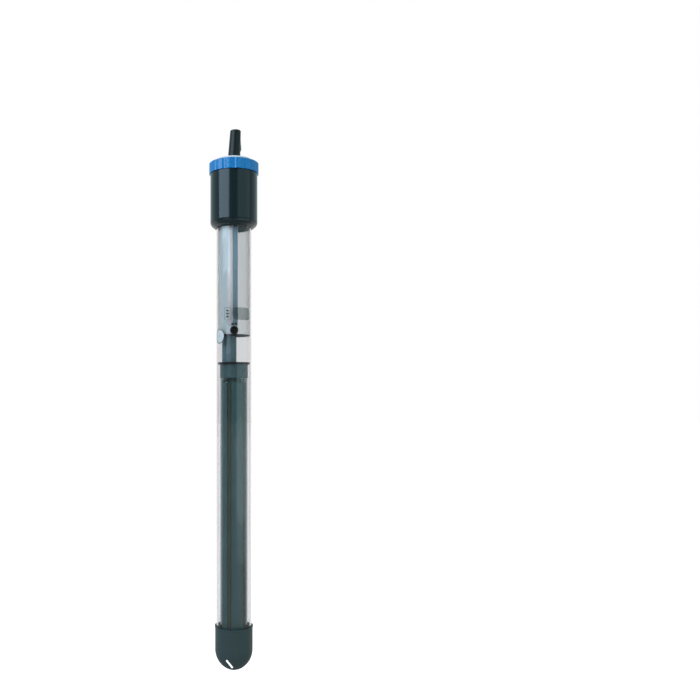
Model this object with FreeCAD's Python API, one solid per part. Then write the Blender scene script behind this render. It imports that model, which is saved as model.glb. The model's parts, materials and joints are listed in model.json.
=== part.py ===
import FreeCAD, Part
import math
import os
from FreeCAD import Vector

# A submersible aquarium heater, in millimetres.
# Heights are first counted from the lowest point of the foot, with the tube's axis as Z.
# The last step moves everything down, so that the origin lies on the axis at the middle
# of the straight part of the head, where a holder ring grips.
# The front, with the indicator, faces -Y, and the thermostat's carrier lies towards -X.

# Clearances that several pieces share
slip_gap = 0.05
loose_gap = 0.3
air_gap = 0.15
press_gap = 0.01
side_gap = 0.2

# Foot cap
foot_wall = 0.75
foot_height = 29.85
foot_dome_height = 14.0
foot_dome_wall = 1.4
foot_seat_height = 17.0
foot_bead_out = 0.2
foot_bead_height = 1.2
foot_slot_count = 4
foot_slot_width = 1.1
foot_slot_length = 6.4
foot_slot_hub = 1.3
foot_slot_slope = 48.8
foot_slot_dip = 20.0
foot_seam_turn = 45.0

# Outer glass tube
glass_radius = 11.7
glass_wall = 0.8

# Heating element
element_radius = 9.1
element_wall = 0.6
coil_room = 3.4
core_length = 165.3
core_top_room = 3.2
collar_step = 0.15
collar_height = 9.1
collar_recess = 3.8
lead_seat_depth = 3.8
spacer_floor = 1.4
spacer_height = 2.4
spacer_hole_radius = 6.0
core_boss_radius = 4.7
core_bore_radius = 0.9
channel_count = 5
channel_slot = 2.9
channel_turn = -111.0
coil_radius = 1.0
coil_bend_radius = 1.7

# Discs and the post between them
lower_disc_thickness = 1.3
upper_disc_thickness = 0.7
post_length = 17.5
post_radius = 4.83
post_x = -3.1

# Lead wires
lead_radius = 0.6
live_lead_rise = 2.0
core_x = 1.3
core_y = 1.15
core_hole_radius = 2.6
lead_bend_room = 2.9
lead_bend_rise = 3.0

# Thermostat carrier and film
thermostat_length = 89.3
carrier_room = 1.33
carrier_wall = 1.2
carrier_edge_x = 2.5
carrier_shelf_depth = 14.5
carrier_shelf_thickness = 1.5
film_wall = 0.12

# Bracket and blades
bracket_x = -3.6
bracket_thickness = 0.8
window_half_height = 4.5
stack_rise = 6.3
stack_height = 7.0
rear_insulator_thickness = 0.9
leaf_thickness = 0.3
leaf_half_width = 2.0
leaf_magnet_gap = 1.0
front_insulator_thickness = 1.1
fork_thickness = 0.4
fork_ear_thickness = 0.4
fork_ear_reach = 3.3
pivot_x = 1.2
pivot_rise = 7.0
pivot_pin_radius = 0.6
eye_radius = 1.15
blade_thickness = 0.5
blade_half_width = 2.2
blade_length = 45.0
contact_radius = 1.3
contact_drop = 4.5
contact_seat_length = 1.0
armature_height = 4.0
armature_thickness = 0.5
rivet_radius = 0.6
rivet_head_radius = 1.1
rivet_head_height = 0.5
rivet_y = 1.4
rivet_low_rise = 2.2
rivet_step = 2.4

# Indicator
lens_radius = 2.65
lens_x = 0.2
lens_rise = 2.7
lens_depth = 2.3
lens_edge = 0.5
lamp_radius = 1.9
lamp_length = 4.6
resistor_radius = 0.9
resistor_length = 6.5
resistor_edge = 0.3
resistor_x = 0.6
fuse_radius = 1.6
fuse_length = 11.0
fuse_x = -1.2
fuse_rise = 21.0

# Head
head_cover = 18.6
head_height = 36.1
head_wall = 2.0
seal_thickness = 1.85
head_chamfer_height = 4.1
head_chamfer_swell = 0.55
head_lip_in = 2.15
head_lip_height = 0.8
head_mouth_depth = 2.1
head_groove_depth = 0.25
head_groove_height = 0.6
deck_thickness = 3.5
bung_depth = 8.5
bung_flange_height = 2.5
potting_height = 2.8

# Gears under the dial
gear_module = 0.5
ring_teeth = 42
pinion_teeth = 15
pressure_angle = 20.0
tooth_addendum = 0.9
tooth_dedendum = 1.25
tooth_backlash = 0.16
gear_height = 3.1
gear_lift = 0.7

# Dial and scale plate
dial_overhang = 0.85
dial_height = 6.9
dial_web = 3.0
dial_flutes = 16
dial_flute_radius = 2.6
dial_flute_depth = 0.55
dial_edge = 0.4
pointer_length = 2.6
pointer_width = 1.6
pointer_height = 0.35
neck_radius = 9.6
neck_lift = 0.2
plate_radius = 12.0
plate_thickness = 2.1
plate_edge = 0.4
screw_radius = 0.95
screw_length = 6.0
screw_head_radius = 1.75
screw_head_height = 1.1
screw_y = 7.4
screw_slot_width = 0.45
screw_slot_reach = 1.05

# Adjusting spindle and its nut
spindle_radius = 1.2
spindle_tip = 4.0
spindle_collar_radius = 2.2
spindle_collar_height = 1.5
bush_radius = 2.3
oring_thickness = 1.5
nut_height = 4.0
nut_drop = 5.0
nut_half_width = 1.9
nut_wall = 0.8
nut_room = 1.5

# Strain relief and mains lead
boot_radius = 4.15
boot_top_radius = 3.55
boot_height = 19.9
boot_top_x = 1.1
boot_top_edge = 0.5
boot_sleeve_rise = 15.5
boot_sleeve_radius = 3.55
boot_end_radius = 3.3
boot_reach = 25.0
boot_groove_count = 5
boot_groove_step = 2.4
boot_groove_width = 1.0
boot_groove_depth = 0.35
boot_flange_radius = 5.4
boot_flange_height = 1.5
boot_lean = 2.3
boot_bore_depth = 6.0
cord_radius = 2.6
cord_first_run = 19.0

# Hank of the lead's put-away length
hank_x = -1.0
hank_y = 45.2
hank_low = 95.0
hank_run = 80.0
hank_outer_run = 27.2
hank_run_gap = 1.3
hank_layer_gap = 0.6
hank_waist_in = 10.0
hank_waist_straight = 8.0
hank_half_loops = 8
tie_height = 6.0
tie_wall = 1.2

# Plug
tail_length = 22.0
plug_relief_length = 20.0
plug_relief_radius = 4.6
plug_body_length = 32.0
plug_half_width = 17.6
plug_half_thickness = 6.6
plug_shoulder = 9.0
plug_collar = 2.0
plug_corner = 3.5
plug_tip_wall = 0.9
plug_edge = 1.6
pin_radius = 2.0
pin_length = 19.0
pin_spacing = 19.0
pin_root = 8.0
pin_core_radius = 1.5
pin_sleeve_length = 10.0
pin_tip_edge = 1.0

# Heights and radii that follow from the sizes above
glass_bore = glass_radius - glass_wall
foot_bore = glass_radius + slip_gap
foot_radius = foot_bore + foot_wall
seat_radius = foot_radius - foot_dome_wall
disc_radius = glass_bore - air_gap
glass_bottom_centre = foot_seat_height + math.sqrt(glass_radius ** 2 - seat_radius ** 2) + slip_gap
spacer_low = glass_bottom_centre + slip_gap
element_low = spacer_low + spacer_floor
element_bore = element_radius - element_wall
core_radius = element_bore - 2 * slip_gap
channel_radius = element_bore - air_gap - coil_radius
core_low = element_low + coil_room
core_high = core_low + core_length
collar_radius = element_radius + collar_step
collar_bottom = core_high + core_top_room
collar_top = collar_bottom + collar_height
lower_disc_top = collar_top + lower_disc_thickness
upper_disc_bottom = lower_disc_top + post_length
upper_disc_top = upper_disc_bottom + upper_disc_thickness
glass_top = upper_disc_top + thermostat_length
film_radius = glass_bore - slip_gap
film_bore = film_radius - film_wall
carrier_radius = film_bore - carrier_room
carrier_bore = carrier_radius - carrier_wall
carrier_shelf_low = glass_top - carrier_shelf_depth
head_bottom = glass_top - head_cover
head_top = head_bottom + head_height
head_bore = glass_radius + seal_thickness + 2 * slip_gap
head_radius = head_bore + head_wall
head_lip_radius = head_radius - head_lip_in
dial_radius = head_radius + dial_overhang
bung_low = glass_top - bung_depth
bung_high = glass_top + bung_flange_height
deck_low = head_top - deck_thickness
dial_low = head_top + loose_gap
dial_top = dial_low + dial_height
neck_top = dial_top + neck_lift
plate_top = neck_top + plate_thickness
straight_low = head_bottom + head_chamfer_height + 2 * head_groove_height
seat_middle = (straight_low + head_top) / 2
ring_pitch_radius = gear_module * ring_teeth / 2
pinion_pitch_radius = gear_module * pinion_teeth / 2
spindle_x = -(ring_pitch_radius - pinion_pitch_radius)
pinion_tip_radius = pinion_pitch_radius + gear_module * tooth_addendum
gear_low = head_top + gear_lift
gear_high = gear_low + gear_height
bracket_half_width = blade_half_width + air_gap + fork_ear_thickness + slip_gap
lead_y = bracket_half_width + side_gap + lead_radius
window_half_width = nut_half_width + air_gap
stack_low = upper_disc_top + stack_rise
pivot_z = stack_low + pivot_rise
blade_top = pivot_z + blade_length
armature_top = blade_top - armature_thickness
armature_low = armature_top - armature_height
leaf_top = armature_low - leaf_magnet_gap
contact_z = leaf_top - contact_drop
rivet_z = stack_low + rivet_low_rise
nut_z = contact_z - nut_drop
spindle_low = nut_z - spindle_tip
lens_z = upper_disc_top + lens_rise
lens_flat = lens_x + lens_radius - lens_edge
lens_front_y = slip_gap - math.sqrt(film_bore ** 2 - lens_flat ** 2)
resistor_y = -(bracket_half_width + side_gap + resistor_radius)
fuse_y = carrier_bore - side_gap - fuse_radius
fuse_z = stack_low + fuse_rise
rear_insulator_x = bracket_x + bracket_thickness
leaf_x = rear_insulator_x + rear_insulator_thickness
front_insulator_x = leaf_x + leaf_thickness
fork_x = front_insulator_x + front_insulator_thickness
blade_x = pivot_x - blade_thickness / 2
hank_step = 2 * cord_radius + hank_run_gap
hank_layer_step = 2 * cord_radius + hank_layer_gap
hank_high = hank_low + hank_run
cord_x = hank_x - hank_layer_step / 2
tail_x = hank_x + hank_layer_step / 2
back_run_y = hank_y + hank_outer_run
plug_top = hank_low - tail_length
plug_face = plug_top - plug_relief_length - plug_body_length

# The free stretch of the lead, from the boot's end to the hank, as chosen points
boot_direction = Vector(math.sin(math.radians(boot_lean)), math.cos(math.radians(boot_lean)), 0)
boot_corner = Vector(boot_top_x * boot_sleeve_rise / boot_height, 0, plate_top + boot_sleeve_rise)
boot_end = boot_corner + boot_direction * boot_reach
cord_start = boot_end - boot_direction * (boot_bore_depth - loose_gap)
cord_route = [
    cord_start,
    boot_end + boot_direction * cord_first_run,
    Vector(-0.6, 62.6, 342.6),
    Vector(-2.6, 71.2, 319.0),
    Vector(-3.9, 73.3, 290.5),
    Vector(-3.4, 71.2, 259.0),
    Vector(cord_x, 72.9, 226.0),
    Vector(cord_x, back_run_y, 196.0),
    Vector(cord_x, back_run_y, hank_high),
]


def cylinder(radius, low, high, x=0.0, y=0.0):
    return Part.makeCylinder(radius, high - low, Vector(x, y, low))


def ring(outer, inner, low, high, x=0.0, y=0.0):
    return cylinder(outer, low, high, x, y).cut(cylinder(inner, low - 1, high + 1, x, y))


def block(x_low, x_high, y_low, y_high, z_low, z_high):
    corner = Vector(x_low, y_low, z_low)
    return Part.makeBox(x_high - x_low, y_high - y_low, z_high - z_low, corner)


def rod_along_x(radius, x_low, x_high, y, z):
    return Part.makeCylinder(radius, x_high - x_low, Vector(x_low, y, z), Vector(1, 0, 0))


def rod_along_y(radius, y_low, y_high, x, z):
    return Part.makeCylinder(radius, y_high - y_low, Vector(x, y_low, z), Vector(0, 1, 0))


def line(start, end):
    return Part.LineSegment(start, end).toShape()


def arc(start, middle, end):
    return Part.Arc(start, middle, end).toShape()


def spline_arc(start, middle, end):
    """An arc kept as a spline, for a dome that comes to a point on its axis."""
    return Part.Arc(start, middle, end).toBSpline().toShape()


def turned(edges):
    """A solid turned about Z from a closed outline in the XZ plane."""
    face = Part.Face(Part.Wire(edges))
    return face.revolve(Vector(0, 0, 0), Vector(0, 0, 1), 360)


def rounded_edges(points):
    """Straight runs joined by tangent arcs, each as large as its two runs allow."""
    edges = []
    radii = []
    here = points[0]
    for before, corner, after in zip(points, points[1:], points[2:]):
        arrive = (corner - before).normalize()
        leave = (after - corner).normalize()
        shorter = min((corner - before).Length, (after - corner).Length)
        half_turn = arrive.getAngle(leave) / 2
        reach = 0.45 * shorter
        if half_turn < 1e-6:
            continue
        radius = reach / math.tan(half_turn)
        start = corner - arrive * reach
        end = corner + leave * reach
        inward = (leave - arrive).normalize()
        middle = corner + inward * (radius / math.cos(half_turn) - radius)
        edges.append(line(here, start))
        edges.append(arc(start, middle, end))
        radii.append(radius)
        here = end
    edges.append(line(here, points[-1]))
    return edges, radii


def tube(edges, radius):
    """One unbroken tube of the given radius along joined edges."""
    path = Part.Wire(edges)
    first = edges[0]
    start = first.valueAt(first.FirstParameter)
    heading = first.tangentAt(first.FirstParameter)
    profile = Part.Wire(Part.Circle(start, heading, radius).toShape())
    return path.makePipeShell([profile], True, False)


def foot_cap():
    """A push-on cap with a pointed dome, hollow below the glass, with slanted drain slots round its tip."""
    dome = foot_dome_height
    bend = (foot_radius ** 2 + dome ** 2) / (2 * foot_radius)
    inner_bend = bend - foot_dome_wall
    centre_x = foot_radius - bend
    inner_low = dome - math.sqrt(inner_bend ** 2 - centre_x ** 2)
    half = math.asin(dome / bend) / 2
    outer_mid = Vector(centre_x + bend * math.cos(half), 0, dome - bend * math.sin(half))
    inner_mid = Vector(centre_x + inner_bend * math.cos(half), 0, dome - inner_bend * math.sin(half))
    bead_low = foot_height - foot_bead_height
    bead_radius = foot_radius + foot_bead_out
    corners = [
        Vector(foot_radius, 0, dome),
        Vector(foot_radius, 0, bead_low - foot_bead_out),
        Vector(bead_radius, 0, bead_low),
        Vector(bead_radius, 0, foot_height),
        Vector(foot_bore, 0, foot_height),
        Vector(foot_bore, 0, foot_seat_height),
        Vector(seat_radius, 0, foot_seat_height),
        Vector(seat_radius, 0, dome),
    ]
    edges = [line(a, b) for a, b in zip(corners, corners[1:])]
    edges.append(spline_arc(corners[-1], inner_mid, Vector(0, 0, inner_low)))
    edges.append(line(Vector(0, 0, inner_low), Vector(0, 0, 0)))
    edges.append(spline_arc(Vector(0, 0, 0), outer_mid, corners[0]))
    cap = turned(edges)
    # The seam of the turned dome lies between two slots.
    cap.rotate(Vector(0, 0, 0), Vector(0, 0, 1), foot_seam_turn)
    for index in range(foot_slot_count):
        half_width = foot_slot_width / 2
        slot = block(-foot_slot_hub - foot_slot_length, -foot_slot_hub, -2 * foot_radius, 2 * foot_radius,
                     -half_width, half_width)
        slot.rotate(Vector(0, 0, 0), Vector(0, 1, 0), foot_slot_slope)
        slot.rotate(Vector(0, 0, 0), Vector(1, 0, 0), -foot_slot_dip)
        slot.rotate(Vector(0, 0, 0), Vector(0, 0, 1), index * 360 / foot_slot_count)
        cap = cap.cut(slot)
    return cap


def glass_tube():
    """The outer tube, open at the top, with a hemispherical closed end."""
    centre = glass_bottom_centre
    slant = math.sqrt(0.5)
    edges = [
        line(Vector(glass_radius, 0, centre), Vector(glass_radius, 0, glass_top)),
        line(Vector(glass_radius, 0, glass_top), Vector(glass_bore, 0, glass_top)),
        line(Vector(glass_bore, 0, glass_top), Vector(glass_bore, 0, centre)),
        arc(Vector(glass_bore, 0, centre), Vector(glass_bore * slant, 0, centre - glass_bore * slant),
            Vector(0, 0, centre - glass_bore)),
        line(Vector(0, 0, centre - glass_bore), Vector(0, 0, centre - glass_radius)),
        arc(Vector(0, 0, centre - glass_radius),
            Vector(glass_radius * slant, 0, centre - glass_radius * slant),
            Vector(glass_radius, 0, centre)),
    ]
    return turned(edges)


def bottom_spacer():
    cup = cylinder(film_radius, spacer_low, spacer_low + spacer_height)
    recess = cylinder(element_radius + slip_gap, element_low, spacer_low + spacer_height + 1)
    return cup.cut(recess).cut(cylinder(spacer_hole_radius, spacer_low - 1, element_low + 1))


def element_tube():
    return ring(element_radius, element_bore, element_low, collar_bottom + collar_recess - slip_gap)


def channel_angles():
    return [math.radians(channel_turn + index * 360 / channel_count) for index in range(channel_count)]


def ceramic_core():
    """A ceramic bobbin with open channels, standing on its own end bosses."""
    core = cylinder(core_radius, core_low, core_high)
    for angle in channel_angles():
        x = channel_radius * math.cos(angle)
        y = channel_radius * math.sin(angle)
        core = core.cut(cylinder(coil_radius + air_gap, core_low - 1, core_high + 1, x, y))
        half = channel_slot / 2
        slot = block(channel_radius, core_radius + 1, -half, half, core_low - 1, core_high + 1)
        slot.rotate(Vector(0, 0, 0), Vector(0, 0, 1), math.degrees(angle))
        core = core.cut(slot)
    low_boss = cylinder(core_boss_radius, element_low + slip_gap, core_low)
    high_boss = cylinder(core_boss_radius, core_high, collar_bottom - slip_gap)
    core = core.fuse([low_boss, high_boss])
    core = core.cut(cylinder(core_bore_radius, element_low, collar_bottom))
    return core.removeSplitter()


def coil_turn(start, end, way):
    """Out of one channel, across the core's end and into the next, with a tight bend at each side."""
    across = (end - start).normalize()
    out = Vector(0, 0, way)
    reach = coil_bend_radius
    slant = reach * (1 - math.sqrt(0.5))
    first = start + (across + out) * reach
    second = end + (out - across) * reach
    return [
        arc(start, start + across * slant + out * (reach - slant), first),
        line(first, second),
        arc(second, end - across * slant + out * (reach - slant), end),
    ]


def heating_coil():
    """The envelope of the resistance wire: it runs up one channel and down the next."""
    angles = channel_angles()
    feet = [Vector(channel_radius * math.cos(a), channel_radius * math.sin(a), 0) for a in angles]
    edges = []
    going_up = False
    for index, foot in enumerate(feet):
        low = foot + Vector(0, 0, core_low)
        high = foot + Vector(0, 0, core_high)
        start, end = (low, high) if going_up else (high, low)
        edges.append(line(start, end))
        if index + 1 < channel_count:
            edges += coil_turn(end, feet[index + 1] + Vector(0, 0, end.z), 1 if going_up else -1)
        going_up = not going_up
    return tube(edges, coil_radius)


def lead_holes(low, high):
    return [cylinder(lead_radius + slip_gap, low, high, post_x, side * lead_y) for side in (-1, 1)]


def element_collar():
    collar = cylinder(collar_radius, collar_bottom, collar_top)
    recess = ring(element_radius + slip_gap, element_bore - slip_gap, collar_bottom - 1,
                  collar_bottom + collar_recess)
    skirt = ring(collar_radius + 1, element_radius + slip_gap, collar_bottom - 1, collar_bottom)
    return collar.cut(recess).cut(skirt).cut(Part.makeCompound(lead_holes(collar_bottom - 1, collar_top + 1)))


def disc(low, thickness):
    whole = cylinder(disc_radius, low, low + thickness)
    return whole.cut(Part.makeCompound(lead_holes(low - 1, low + thickness + 1)))


def terminal_post():
    post = cylinder(post_radius, lower_disc_top, upper_disc_bottom, post_x)
    return post.cut(Part.makeCompound(lead_holes(lower_disc_top - 1, upper_disc_bottom + 1)))


def carrier_half(radius, low, high):
    whole = cylinder(radius, low, high)
    return whole.common(block(-radius, carrier_edge_x, -radius, radius, low, high))


def thermostat_carrier():
    """A half-round trough, open towards +X, with a shelf and a slot that guides the nut."""
    trough = carrier_half(carrier_radius, upper_disc_top, bung_low - slip_gap)
    trough = trough.cut(cylinder(carrier_bore, upper_disc_top - 1, bung_low + 1))
    shelf_high = carrier_shelf_low + carrier_shelf_thickness
    shelf = carrier_half(carrier_bore, carrier_shelf_low, shelf_high)
    shelf = shelf.cut(Part.makeCompound(lead_holes(carrier_shelf_low - 1, shelf_high + 1)))
    spindle_way = cylinder(spindle_radius + loose_gap, carrier_shelf_low - 1, shelf_high + 1, spindle_x)
    collar_way = cylinder(spindle_collar_radius + loose_gap, shelf_high, bung_low + 1, spindle_x)
    nut_half = nut_half_width + air_gap
    nut_way = block(-carrier_radius - 1, spindle_x, -nut_half, nut_half, nut_z - nut_room,
                    nut_z + nut_height + nut_room)
    lens_way = rod_along_y(lens_radius + slip_gap, -carrier_radius - 1, 0, lens_x, lens_z)
    ways = Part.makeCompound([spindle_way, collar_way, nut_way, lens_way])
    return trough.fuse(shelf).removeSplitter().cut(ways)


def insulating_sleeve():
    return ring(film_radius, film_bore, upper_disc_top, bung_low - slip_gap)


def rivet_places():
    return [(side * rivet_y, rivet_z + rise) for side, rise in ((-1, 0.0), (1, rivet_step))]


def rivet_holes(x_low, x_high):
    radius = rivet_radius + slip_gap
    return Part.makeCompound([rod_along_x(radius, x_low - 1, x_high + 1, y, z) for y, z in rivet_places()])


def mounting_bracket():
    plate = block(bracket_x, bracket_x + bracket_thickness, -bracket_half_width, bracket_half_width,
                  upper_disc_top, carrier_shelf_low)
    window_z = nut_z + nut_height / 2
    window = block(bracket_x - 1, bracket_x + bracket_thickness + 1, -window_half_width,
                   window_half_width, window_z - window_half_height, window_z + window_half_height)
    return plate.cut(window).cut(rivet_holes(bracket_x, rear_insulator_x))


def stack_plate(x_low, thickness, half_width, height):
    plate = block(x_low, x_low + thickness, -half_width, half_width, stack_low, stack_low + height)
    return plate.cut(rivet_holes(x_low, x_low + thickness))


def contact_leaf():
    return stack_plate(leaf_x, leaf_thickness, leaf_half_width, leaf_top - stack_low)


def fixed_contact():
    return rod_along_x(contact_radius, front_insulator_x, front_insulator_x + contact_seat_length,
                       0, contact_z)


def blade_fork():
    """A brass fork whose two ears carry the blade's pivot pin."""
    fork = stack_plate(fork_x, fork_thickness, bracket_half_width, stack_height)
    inner = blade_half_width + air_gap
    ear_low = pivot_z - fork_ear_reach / 2
    for side in (-1, 1):
        y_low = inner if side > 0 else -inner - fork_ear_thickness
        ear = block(fork_x, fork_x + fork_ear_reach, y_low, y_low + fork_ear_thickness,
                    ear_low, pivot_z + eye_radius)
        fork = fork.fuse(ear)
    hole = rod_along_y(pivot_pin_radius + slip_gap, -inner - 1, inner + 1, pivot_x, pivot_z)
    return fork.removeSplitter().cut(hole)


def blade_pin():
    reach = blade_half_width + air_gap + fork_ear_thickness
    return rod_along_y(pivot_pin_radius, -reach, reach, pivot_x, pivot_z)


def bimetal_blade():
    """A straight blade with a rolled eye that turns on the pivot pin."""
    eye = rod_along_y(eye_radius, -blade_half_width, blade_half_width, pivot_x, pivot_z)
    strip = block(blade_x, blade_x + blade_thickness, -blade_half_width, blade_half_width,
                  pivot_z, blade_top)
    bore = rod_along_y(pivot_pin_radius + slip_gap, -blade_half_width - 1, blade_half_width + 1,
                       pivot_x, pivot_z)
    return eye.fuse(strip).removeSplitter().cut(bore)


def moving_contact():
    low = front_insulator_x + contact_seat_length + slip_gap
    return rod_along_x(contact_radius, low, blade_x, 0, contact_z)


def blade_armature():
    return block(blade_x - armature_thickness, blade_x, -blade_half_width, blade_half_width,
                 armature_low, armature_top)


def snap_magnet():
    face = blade_x - armature_thickness - loose_gap
    return block(rear_insulator_x, face, -leaf_half_width, leaf_half_width, armature_low, armature_top)


def stack_rivets():
    rivets = []
    x_high = fork_x + fork_thickness
    for y, z in rivet_places():
        shank = rod_along_x(rivet_radius, bracket_x, x_high, y, z)
        heads = [rod_along_x(rivet_head_radius, bracket_x - rivet_head_height, bracket_x, y, z),
                 rod_along_x(rivet_head_radius, x_high, x_high + rivet_head_height, y, z)]
        rivets.append(shank.fuse(heads).removeSplitter())
    return Part.makeCompound(rivets)


def indicator_lens():
    """A round dark lens seen through the front of the glass."""
    lens = rod_along_y(lens_radius, lens_front_y, lens_front_y + lens_depth, lens_x, lens_z)
    front = [edge for edge in lens.Edges if abs(edge.BoundBox.YMax - lens_front_y) < 1e-6]
    return lens.makeFillet(lens_edge, front)


def indicator_lamp():
    """A small gas lamp behind the lens, with a domed inner end."""
    start = lens_front_y + lens_depth + slip_gap
    tip = start + lamp_length
    body = rod_along_y(lamp_radius, start, tip, lens_x, lens_z)
    return body.fuse(Part.makeSphere(lamp_radius, Vector(lens_x, tip, lens_z))).removeSplitter()


def lamp_resistor():
    low = stack_low
    body = cylinder(resistor_radius, low, low + resistor_length, resistor_x, resistor_y)
    return body.makeFillet(resistor_edge, [edge for edge in body.Edges if edge.Closed])


def thermal_fuse():
    return cylinder(fuse_radius, fuse_z, fuse_z + fuse_length, fuse_x, fuse_y)


def mains_lead(side, low):
    """A lead that rises beside the bracket and gathers towards the cord above the bung."""
    bend_low = bung_high + lead_bend_room
    bend_high = bend_low + lead_bend_rise
    top = neck_top - boot_flange_height - loose_gap
    points = [
        Vector(post_x, side * lead_y, low),
        Vector(post_x, side * lead_y, bend_low),
        Vector(core_x, side * core_y, bend_high),
        Vector(core_x, side * core_y, top),
    ]
    return tube(rounded_edges(points)[0], lead_radius)


def switched_lead():
    return cylinder(lead_radius, collar_top - lead_seat_depth, stack_low, post_x, -lead_y)


def tube_bung():
    """The rubber bung in the glass tube's mouth, with ways for the spindle and the leads."""
    bung = cylinder(film_radius, bung_low, glass_top).fuse(
        cylinder(glass_radius, glass_top, bung_high)).removeSplitter()
    bung = bung.cut(Part.makeCompound(lead_holes(bung_low - 1, bung_high + 1)))
    return bung.cut(cylinder(spindle_radius + slip_gap, bung_low - 1, bung_high + 1, spindle_x))


def head_seal_sleeve():
    low = head_bottom + head_mouth_depth
    return ring(head_bore - slip_gap, glass_radius + slip_gap, low, glass_top)


def core_ways(low, high):
    return [cylinder(lead_radius + slip_gap, low, high, core_x, side * core_y) for side in (-1, 1)]


def potting():
    low = deck_low - potting_height
    plug = cylinder(head_bore - slip_gap, low, deck_low)
    plug = plug.cut(Part.makeCompound(core_ways(low - 1, deck_low + 1)))
    return plug.cut(cylinder(bush_radius + slip_gap, low - 1, deck_low + 1, spindle_x))


def spindle_bush():
    high = head_top - oring_thickness - loose_gap
    return ring(bush_radius, spindle_radius + slip_gap, deck_low - potting_height, high, spindle_x)


def spindle_oring():
    minor = oring_thickness / 2
    major = spindle_radius + slip_gap + minor
    centre = Vector(spindle_x, 0, head_top - air_gap - minor)
    return Part.makeTorus(major, minor, centre)


def head_shell():
    """The head: a cup over the glass with a deck, and a neck that the dial turns on."""
    mouth_radius = glass_radius + loose_gap
    mouth_high = head_bottom + head_mouth_depth
    chamfer_high = head_bottom + head_chamfer_height
    groove_high = chamfer_high + head_groove_height
    lip_high = head_bottom + head_lip_height
    lip = Vector(head_lip_radius, 0, lip_high)
    shoulder = Vector(head_radius, 0, chamfer_high)
    rise = (shoulder - lip).normalize()
    swell = (lip + shoulder) / 2 + Vector(rise.z, 0, -rise.x) * head_chamfer_swell
    corners = [
        shoulder,
        Vector(head_radius - head_groove_depth, 0, chamfer_high + head_groove_height / 2),
        Vector(head_radius, 0, groove_high),
        Vector(head_radius, 0, head_top),
        Vector(neck_radius, 0, head_top),
        Vector(neck_radius, 0, neck_top),
        Vector(0, 0, neck_top),
        Vector(0, 0, deck_low),
        Vector(head_bore, 0, deck_low),
        Vector(head_bore, 0, mouth_high),
        Vector(mouth_radius, 0, mouth_high),
        Vector(mouth_radius, 0, head_bottom),
        Vector(head_lip_radius - head_lip_height, 0, head_bottom),
        lip,
    ]
    edges = [line(a, b) for a, b in zip(corners, corners[1:])]
    edges.append(arc(corners[-1], swell, corners[0]))
    shell = turned(edges)
    pocket = cylinder(pinion_tip_radius + loose_gap, head_top, neck_top + 1, spindle_x)
    oring_seat = head_top - oring_thickness - 2 * air_gap
    seal_pocket = cylinder(spindle_radius + slip_gap + oring_thickness + air_gap, oring_seat, head_top,
                           spindle_x)
    bush_way = cylinder(bush_radius + slip_gap, deck_low - 1, oring_seat, spindle_x)
    core_way = cylinder(core_hole_radius, deck_low - 1, neck_top, core_x)
    flange_seat = cylinder(boot_flange_radius + slip_gap, neck_top - boot_flange_height - air_gap,
                           neck_top + 1)
    cuts = [pocket, seal_pocket, bush_way, core_way, flange_seat]
    for side in (-1, 1):
        cuts.append(cylinder(screw_radius + slip_gap, neck_top - screw_length, neck_top + 1, 0,
                             side * screw_y))
    return shell.cut(Part.makeCompound(cuts))


def gear_prism(teeth, addendum, dedendum, thinning, low, high):
    """A toothed wheel about Z, with involute flanks and one tooth centred on +X."""
    slope = math.radians(pressure_angle)
    pitch = gear_module * teeth / 2
    base = pitch * math.cos(slope)
    root = pitch - gear_module * dedendum
    tip = pitch + gear_module * addendum
    half_tooth = math.pi / (2 * teeth) - thinning / (2 * pitch)
    involute = math.tan(slope) - slope
    steps = 4
    start = max(base, root)
    flank = []
    for step in range(steps + 1):
        radius = start + (tip - start) * step / steps
        roll = math.acos(min(1.0, base / radius))
        flank.append((radius, half_tooth + involute - (math.tan(roll) - roll)))
    if root < base:
        flank.insert(0, (root, flank[0][1]))
    points = []
    for tooth in range(teeth):
        middle = 2 * math.pi * tooth / teeth
        for radius, half in flank:
            points.append(Vector(radius * math.cos(middle - half), radius * math.sin(middle - half), low))
        for radius, half in reversed(flank):
            points.append(Vector(radius * math.cos(middle + half), radius * math.sin(middle + half), low))
    edges = [line(a, b) for a, b in zip(points, points[1:] + points[:1])]
    return Part.Face(Part.Wire(edges)).extrude(Vector(0, 0, high - low))


def dial_ring():
    """The fluted dial: internal teeth below, a web that turns on the neck above."""
    dial = cylinder(dial_radius, dial_low, dial_top)
    rim = [edge for edge in dial.Edges if edge.Closed and abs(edge.BoundBox.ZMin - dial_top) < 1e-3]
    dial = dial.makeChamfer(dial_edge, rim)
    reach = dial_radius + dial_flute_radius - dial_flute_depth
    flutes = []
    for index in range(dial_flutes):
        angle = 2 * math.pi * index / dial_flutes - math.pi / 2
        flutes.append(cylinder(dial_flute_radius, dial_low - 1, dial_top + 1,
                               reach * math.cos(angle), reach * math.sin(angle)))
    spaces = gear_prism(ring_teeth, tooth_dedendum, tooth_addendum, -tooth_backlash,
                        dial_low - 1, dial_top - dial_web)
    spaces.rotate(Vector(0, 0, 0), Vector(0, 0, 1), 180)
    dial = dial.cut(Part.makeCompound(flutes)).cut(spaces)
    return dial.cut(cylinder(neck_radius + slip_gap, dial_low - 1, dial_top + 1))


def dial_pointer():
    """A small raised arrow on the dial's top, at the front."""
    tip = -plate_radius - loose_gap
    corners = [Vector(0, tip, dial_top), Vector(-pointer_width / 2, tip - pointer_length, dial_top),
               Vector(pointer_width / 2, tip - pointer_length, dial_top)]
    edges = [line(a, b) for a, b in zip(corners, corners[1:] + corners[:1])]
    return Part.Face(Part.Wire(edges)).extrude(Vector(0, 0, pointer_height))


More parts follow.
